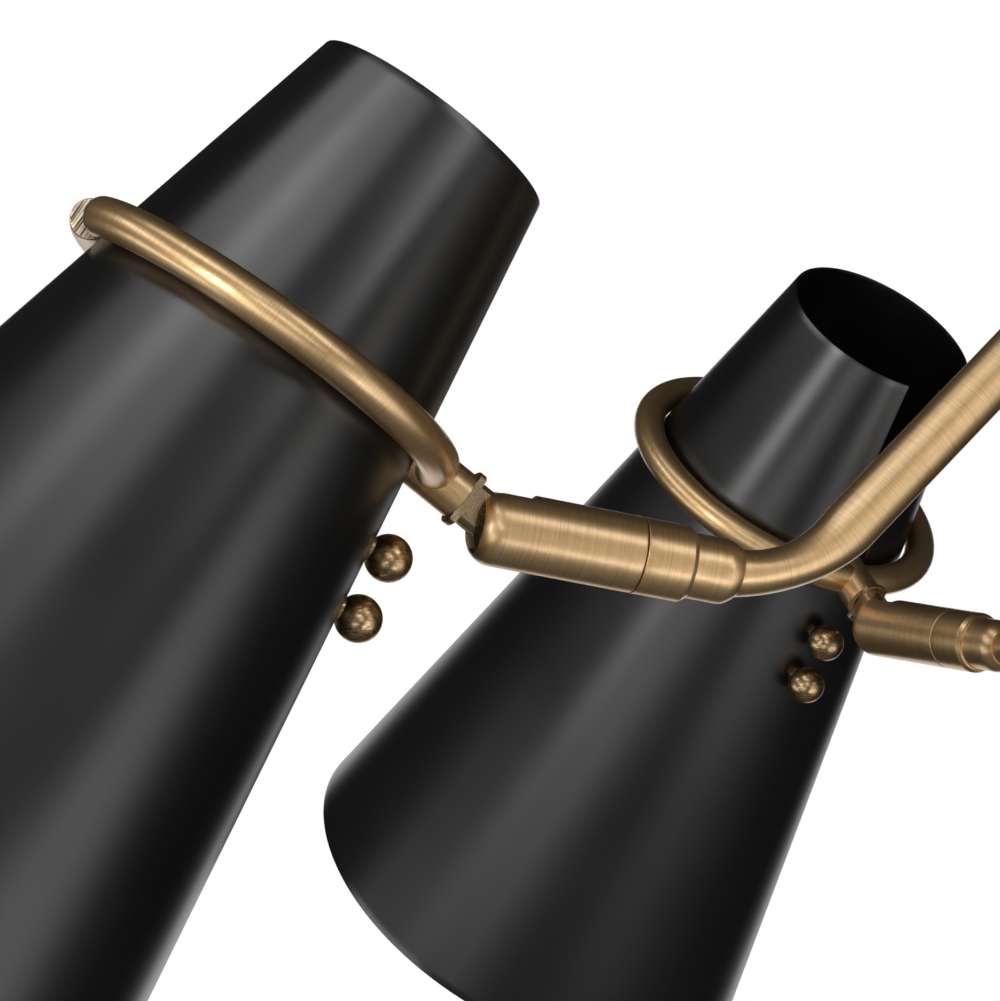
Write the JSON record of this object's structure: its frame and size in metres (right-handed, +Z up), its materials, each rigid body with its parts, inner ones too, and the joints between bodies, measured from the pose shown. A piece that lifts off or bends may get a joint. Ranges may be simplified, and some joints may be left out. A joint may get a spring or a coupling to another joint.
{
  "type": "chandelier",
  "caption": "Hanging ceiling light with bent brass arms, each ending in a swivelling, tilting cone shade held by a split ring.",
  "frame": {"origin": "on the ceiling, in the middle of the canopy's rim and on top of the crossbar", "axes": "+Z up; +X along the crossbar, away from lamp 1; the lamps are numbered clockwise seen from above"},
  "size_m": [1.0383, 1.0878, 0.7506],
  "materials": {
    "shade_black": "satin",
    "brushed_brass": "brushed",
    "ball_brass": "aged satin",
    "tang_brass": "cast, satin",
    "bracket_black": "satin",
    "holder_black": "satin",
    "screw_steel": "blackened"
  },
  "bodies": {
    "root": {"arm_1": "brushed_brass", "swivel_base_1": "brushed_brass", "arm_2": "brushed_brass", "swivel_base_2": "brushed_brass", "arm_3": "brushed_brass", "swivel_base_3": "brushed_brass", "arm_4": "brushed_brass", "swivel_base_4": "brushed_brass", "arm_5": "brushed_brass", "swivel_base_5": "brushed_brass", "stop_screws": "screw_steel", "hub": "brushed_brass", "hub_cap": "brushed_brass", "arm_ferrules": "brushed_brass", "downrod_coupling": "brushed_brass", "downrod": "brushed_brass", "canopy": "brushed_brass", "canopy_screws": "ball_brass", "crossbar": "bracket_black"},
    "swivel_1": {"barrel_1": "brushed_brass", "hinge_pin_1": "screw_steel"},
    "head_1": {"tang_1": "tang_brass", "shade_ring_1": "brushed_brass", "shade_1": "shade_black", "ball_screws_1": "ball_brass", "bracket_1": "bracket_black", "lampholder_1": "holder_black"},
    "swivel_2": {"barrel_2": "brushed_brass", "hinge_pin_2": "screw_steel"},
    "head_2": {"tang_2": "tang_brass", "shade_ring_2": "brushed_brass", "shade_2": "shade_black", "ball_screws_2": "ball_brass", "bracket_2": "bracket_black", "lampholder_2": "holder_black"},
    "swivel_3": {"barrel_3": "brushed_brass", "hinge_pin_3": "screw_steel"},
    "head_3": {"tang_3": "tang_brass", "shade_ring_3": "brushed_brass", "shade_3": "shade_black", "ball_screws_3": "ball_brass", "bracket_3": "bracket_black", "lampholder_3": "holder_black"},
    "swivel_4": {"barrel_4": "brushed_brass", "hinge_pin_4": "screw_steel"},
    "head_4": {"tang_4": "tang_brass", "shade_ring_4": "brushed_brass", "shade_4": "shade_black", "ball_screws_4": "ball_brass", "bracket_4": "bracket_black", "lampholder_4": "holder_black"},
    "swivel_5": {"barrel_5": "brushed_brass", "hinge_pin_5": "screw_steel"},
    "head_5": {"tang_5": "tang_brass", "shade_ring_5": "brushed_brass", "shade_5": "shade_black", "ball_screws_5": "ball_brass", "bracket_5": "bracket_black", "lampholder_5": "holder_black"}
  },
  "joints": [
    {"name": "lamp_swivel_1", "type": "hinge", "parent": "root", "child": "swivel_1", "pos_m": [-0.3232, 0, -0.59208], "axis": [0.9874, 0, -0.1582], "range_deg": [-157.3, 142.7]},
    {"name": "lamp_tilt_1", "type": "hinge", "parent": "swivel_1", "child": "head_1", "pos_m": [-0.3232, 0, -0.59208], "axis": [0.0201, 0.9919, 0.1255], "range_deg": [-27.1, 62.9]},
    {"name": "lamp_swivel_2", "type": "hinge", "parent": "root", "child": "swivel_2", "pos_m": [-0.09987, 0.30738, -0.59208], "axis": [0.3051, -0.9391, -0.1582], "range_deg": [-146.5, 153.5]},
    {"name": "lamp_tilt_2", "type": "hinge", "parent": "swivel_2", "child": "head_2", "pos_m": [-0.09987, 0.30738, -0.59208], "axis": [0.9463, 0.3176, -0.0603], "range_deg": [-35.6, 54.4]},
    {"name": "lamp_swivel_3", "type": "hinge", "parent": "root", "child": "swivel_3", "pos_m": [0.26147, 0.18997, -0.59208], "axis": [-0.7988, -0.5804, -0.1582], "range_deg": [-150, 150]},
    {"name": "lamp_tilt_3", "type": "hinge", "parent": "swivel_3", "child": "head_3", "pos_m": [0.26147, 0.18997, -0.59208], "axis": [0.5878, -0.809, 0], "range_deg": [-30.9, 59.1]},
    {"name": "lamp_swivel_4", "type": "hinge", "parent": "root", "child": "swivel_4", "pos_m": [0.26147, -0.18997, -0.59208], "axis": [-0.7988, 0.5804, -0.1582], "range_deg": [-150, 150]},
    {"name": "lamp_tilt_4", "type": "hinge", "parent": "swivel_4", "child": "head_4", "pos_m": [0.26147, -0.18997, -0.59208], "axis": [-0.5878, -0.809, 0], "range_deg": [-30.9, 59.1]},
    {"name": "lamp_swivel_5", "type": "hinge", "parent": "root", "child": "swivel_5", "pos_m": [-0.09987, -0.30738, -0.59208], "axis": [0.3051, 0.9391, -0.1582], "range_deg": [-150, 150]},
    {"name": "lamp_tilt_5", "type": "hinge", "parent": "swivel_5", "child": "head_5", "pos_m": [-0.09987, -0.30738, -0.59208], "axis": [-0.9511, 0.309, 0], "range_deg": [-30.9, 59.1]}
  ]
}
